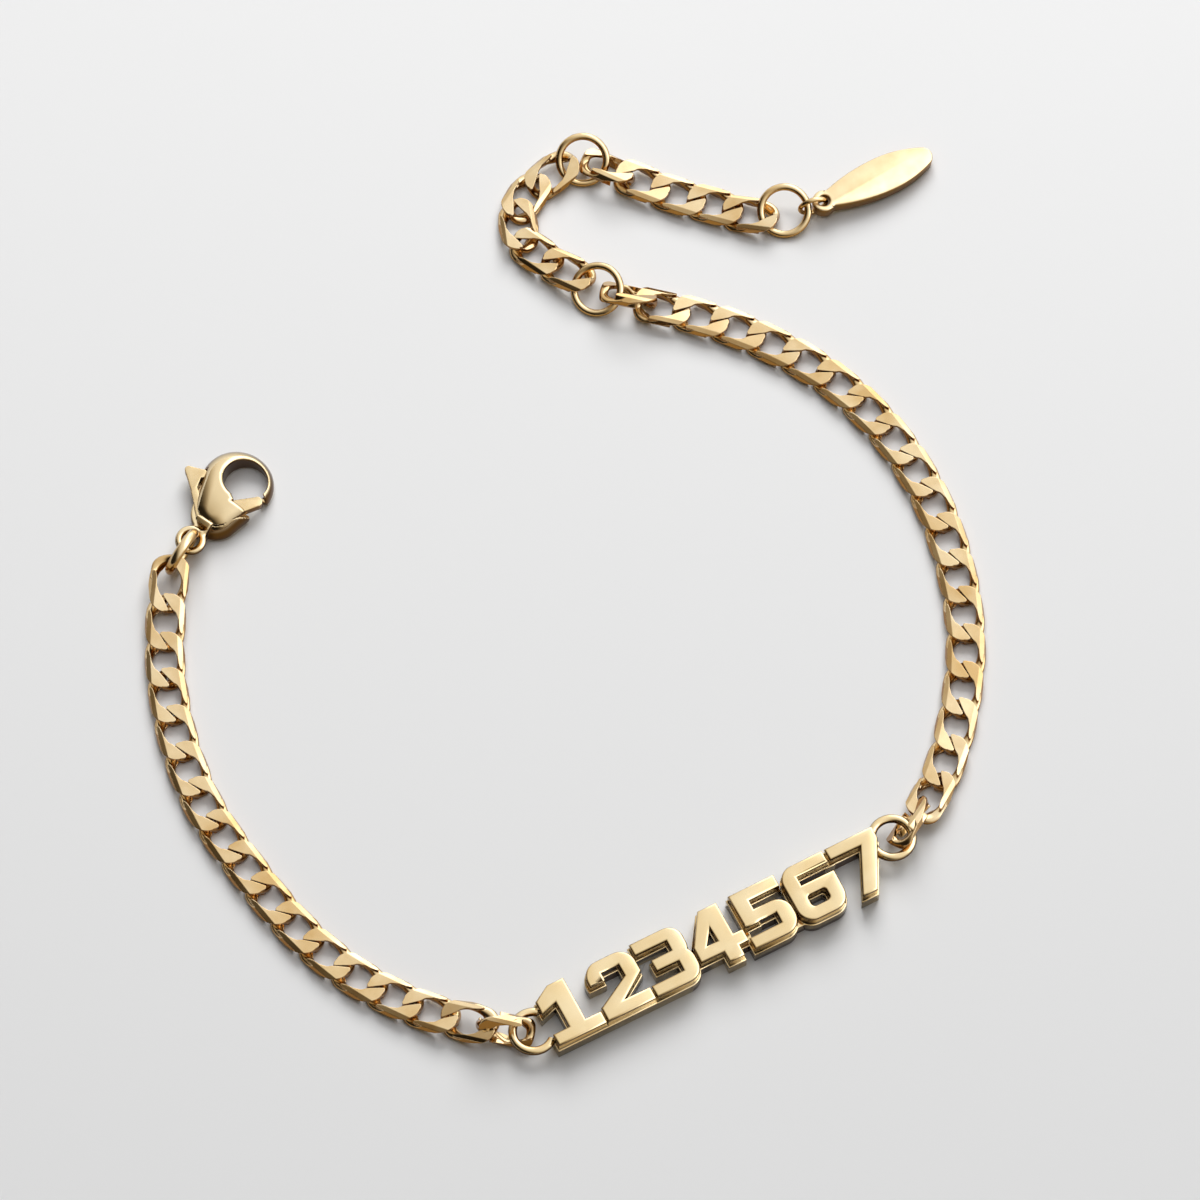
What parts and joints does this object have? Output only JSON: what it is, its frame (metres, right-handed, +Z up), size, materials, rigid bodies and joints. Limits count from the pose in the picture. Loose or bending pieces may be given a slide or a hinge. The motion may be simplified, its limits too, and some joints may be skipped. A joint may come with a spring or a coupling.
{
  "type": "nameplate bracelet",
  "caption": "Nameplate bracelet lying open: double plate of cut-out numbers on curb chain, with a lobster clasp and a sizing extender that ends in a small tag.",
  "frame": {"origin": "centre of the nameplate's outline on its flat back, at the level of the surface that the bracelet lies on", "axes": "+X along the plate in the direction its numbers read, +Y from the plate towards the clasp and the extender, +Z up from the surface"},
  "size_m": [0.0857, 0.0746, 0.0046],
  "materials": {
    "gold": "polished pale yellow gold plating",
    "satin_gold": "lightly brushed pale yellow gold plating"
  },
  "bodies": {
    "bracelet": {"nameplate": "gold", "clasp_chain": "gold", "long_chain": "gold", "sizing_ring_1": "gold", "extender_chain_1": "gold", "sizing_ring_2": "gold", "extender_chain_2": "gold", "end_ring": "gold", "tag_ring": "gold", "tag": "satin_gold", "clasp_ring": "gold", "clasp_body": "gold", "clasp_pin": "gold"},
    "lever": {"clasp_lever": "gold"}
  },
  "joints": [
    {"name": "lever_hinge", "type": "hinge", "parent": "bracelet", "child": "lever", "pos_m": [-0.02002, 0.05453, 0.00145], "axis": [0, 0, 1], "range_deg": [0, 22], "stiffness_Nm_per_rad": 0.001}
  ]
}
